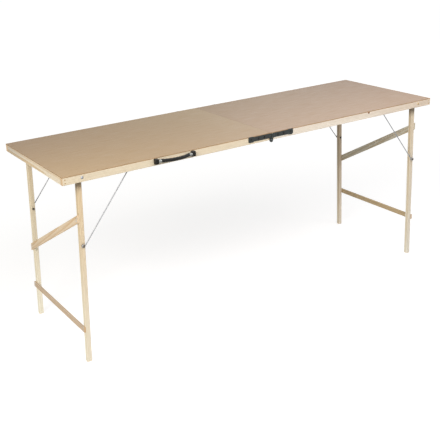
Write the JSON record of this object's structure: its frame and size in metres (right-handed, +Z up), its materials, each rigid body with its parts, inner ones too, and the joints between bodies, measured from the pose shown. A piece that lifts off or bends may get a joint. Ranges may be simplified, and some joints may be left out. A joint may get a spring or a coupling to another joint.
{
  "type": "folding pasting table",
  "caption": "Folding wallpaper pasting table: hardboard top on pine rails, hinged in the middle, with folding leg frames held by wire stays and a carrying handle.",
  "frame": {"origin": "on the floor, at the middle of the open table's bounding box", "axes": "+X along the table to the right-hand leaf, +Z up, the carrying handle faces -Y"},
  "size_m": [1.78, 0.5853, 0.75],
  "materials": {
    "hardboard": "smooth pressed hardboard, oiled brown",
    "pine": "planed pale pine, unfinished",
    "zinc_steel": "bright zinc plated",
    "coppered_steel": "thinly coppered, dull",
    "hinge_steel": "dark slate stoved finish",
    "black_steel": "black japanned",
    "black_plastic": "moulded black plastic"
  },
  "bodies": {
    "left_leaf": {"left_worktop": "hardboard", "left_front_rail": "pine", "left_back_rail": "pine", "left_end_rail": "pine", "left_joint_rail": "pine", "left_panel_pins": "coppered_steel", "left_frame_nails": "zinc_steel", "left_hinge_screws": "black_steel", "left_pivot_bolts": "zinc_steel", "left_pivot_spacers": "zinc_steel", "left_pivot_nuts": "zinc_steel", "left_stay_studs": "zinc_steel", "front_hinge_left_plate": "hinge_steel", "back_hinge_left_plate": "hinge_steel", "handle_left_block": "black_plastic", "handle_right_block": "black_plastic", "handle_screws": "black_steel"},
    "left_legs": {"left_front_leg": "pine", "left_back_leg": "pine", "left_lower_rail": "pine", "left_brace": "pine", "left_leg_screws": "zinc_steel", "left_stay_bolts": "zinc_steel", "left_stay_washers": "zinc_steel", "left_stay_nuts": "black_steel"},
    "left_front_stay": {"left_front_stay": "zinc_steel"},
    "left_back_stay": {"left_back_stay": "zinc_steel"},
    "right_leaf": {"right_worktop": "hardboard", "right_front_rail": "pine", "right_back_rail": "pine", "right_end_rail": "pine", "right_joint_rail": "pine", "right_panel_pins": "coppered_steel", "right_frame_nails": "zinc_steel", "right_hinge_screws": "black_steel", "right_pivot_bolts": "zinc_steel", "right_pivot_spacers": "zinc_steel", "right_pivot_nuts": "zinc_steel", "right_stay_studs": "zinc_steel", "front_hinge_right_plate": "hinge_steel", "back_hinge_right_plate": "hinge_steel", "front_hinge_rivet": "hinge_steel", "back_hinge_rivet": "hinge_steel"},
    "right_legs": {"right_front_leg": "pine", "right_back_leg": "pine", "right_lower_rail": "pine", "right_brace": "pine", "right_leg_screws": "zinc_steel", "right_stay_bolts": "zinc_steel", "right_stay_washers": "zinc_steel", "right_stay_nuts": "black_steel"},
    "right_front_stay": {"right_front_stay": "zinc_steel"},
    "right_back_stay": {"right_back_stay": "zinc_steel"},
    "carrying_handle": {"handle_grip": "black_plastic", "handle_left_ferrule": "zinc_steel", "handle_right_ferrule": "zinc_steel"}
  },
  "joints": [
    {"name": "centre_fold", "type": "hinge", "parent": "left_leaf", "child": "right_leaf", "pos_m": [0, 0.01185, 0.7195], "axis": [0, 1, 0], "range_deg": [0, 90]},
    {"name": "handle_swing", "type": "hinge", "parent": "left_leaf", "child": "carrying_handle", "pos_m": [-0.44515, -0.27265, 0.737], "axis": [-1, 0, 0], "range_deg": [-85, 85]},
    {"name": "left_leg_fold", "type": "hinge", "parent": "left_leaf", "child": "left_legs", "pos_m": [-0.816, 0.01185, 0.736], "axis": [0, -1, 0], "range_deg": [0, 92]},
    {"name": "left_front_stay_swing", "type": "hinge", "parent": "left_legs", "child": "left_front_stay", "pos_m": [-0.82518, -0.24085, 0.47316], "axis": [0, 1, 0], "range_deg": [0, 143.92]},
    {"name": "left_back_stay_swing", "type": "hinge", "parent": "left_legs", "child": "left_back_stay", "pos_m": [-0.82518, 0.26455, 0.47316], "axis": [0, 1, 0], "range_deg": [0, 143.92]},
    {"name": "right_leg_fold", "type": "hinge", "parent": "right_leaf", "child": "right_legs", "pos_m": [0.816, 0.01185, 0.736], "axis": [0, 1, 0], "range_deg": [0, 92]},
    {"name": "right_front_stay_swing", "type": "hinge", "parent": "right_legs", "child": "right_front_stay", "pos_m": [0.82518, -0.24085, 0.47316], "axis": [0, -1, 0], "range_deg": [0, 143.92]},
    {"name": "right_back_stay_swing", "type": "hinge", "parent": "right_legs", "child": "right_back_stay", "pos_m": [0.82518, 0.26455, 0.47316], "axis": [0, -1, 0], "range_deg": [0, 143.92]}
  ],
  "couplings": [
    {"joint": "left_front_stay_swing", "follows": "left_leg_fold", "ratio": 1.5638},
    {"joint": "left_back_stay_swing", "follows": "left_leg_fold", "ratio": 1.5638},
    {"joint": "right_front_stay_swing", "follows": "right_leg_fold", "ratio": 1.5638},
    {"joint": "right_back_stay_swing", "follows": "right_leg_fold", "ratio": 1.5638}
  ]
}
